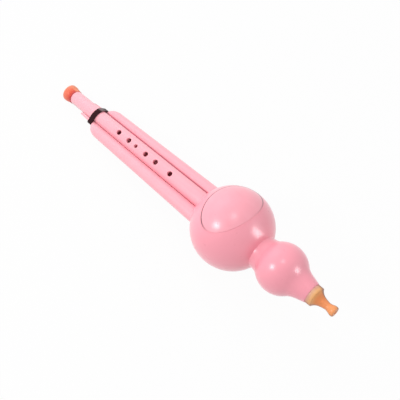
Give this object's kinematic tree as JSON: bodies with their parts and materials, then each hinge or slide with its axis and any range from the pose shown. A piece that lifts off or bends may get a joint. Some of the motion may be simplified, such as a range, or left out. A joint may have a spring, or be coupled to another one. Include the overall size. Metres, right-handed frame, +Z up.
{
  "type": "hulusi gourd flute",
  "caption": "Gourd flute lying on its back: plastic gourd, amber mouthpiece, melody pipe with finger holes and a bell, and drone pipes held beside it by a rubber band.",
  "frame": {"origin": "bottom centre of the bounding box of the instrument as it lies on its large bulb and the rim of the end fitting", "axes": "+X towards the mouthpiece, +Y to the left of a viewer who looks along +X, +Z up, out of the finger-hole side"},
  "size_m": [0.399, 0.0858, 0.0859],
  "materials": {
    "pink_lacquer": "gloss",
    "inlay_film": "gloss",
    "amber_plastic": "gloss, translucent",
    "red_amber_plastic": "gloss, translucent",
    "black_rubber": "satin",
    "cream_moulding": "matte",
    "copper": "satin"
  },
  "bodies": {
    "gourd": {"gourd_front_shell": "pink_lacquer", "gourd_back_shell": "pink_lacquer", "front_inlay": "inlay_film", "pipe_seat": "cream_moulding", "left_drone_pipe": "pink_lacquer", "right_drone_pipe": "pink_lacquer", "main_reed_holder": "cream_moulding", "main_reed_plate": "copper", "main_reed_tongue": "copper", "main_reed_cap": "cream_moulding", "left_drone_reed_holder": "cream_moulding", "left_drone_reed_plate": "copper", "left_drone_reed_tongue": "copper", "left_drone_reed_cap": "cream_moulding", "right_drone_reed_holder": "cream_moulding", "right_drone_reed_plate": "copper", "right_drone_reed_tongue": "copper", "right_drone_reed_cap": "cream_moulding"},
    "mouthpiece_sleeve": {"mouthpiece_seal": "black_rubber"},
    "mouthpiece": {"mouthpiece": "amber_plastic"},
    "pipe_ring": {"main_pipe_seal": "black_rubber"},
    "melody_pipe": {"main_pipe": "pink_lacquer", "end_fitting": "red_amber_plastic"},
    "band": {"pipe_band": "black_rubber"}
  },
  "joints": [
    {"name": "mouthpiece_pull", "type": "slide", "parent": "gourd", "child": "mouthpiece_sleeve", "axis": [0.9901, 0, 0.1406], "range_m": [0, 0.006]},
    {"name": "mouthpiece_turn", "type": "hinge", "parent": "mouthpiece_sleeve", "child": "mouthpiece", "pos_m": [0.17183, 0, 0.05756], "axis": [0.9901, 0, 0.1406], "continuous": true},
    {"name": "tuning_pull", "type": "slide", "parent": "gourd", "child": "pipe_ring", "axis": [-0.9901, 0, -0.1406], "range_m": [0, 0.006]},
    {"name": "melody_pipe_turn", "type": "hinge", "parent": "pipe_ring", "child": "melody_pipe", "pos_m": [0.03793, 0, 0.0431], "axis": [0.9901, 0, 0.1406], "continuous": true},
    {"name": "band_slide", "type": "slide", "parent": "gourd", "child": "band", "axis": [-0.9901, 0, -0.1406], "range_m": [0, 0.013]}
  ]
}
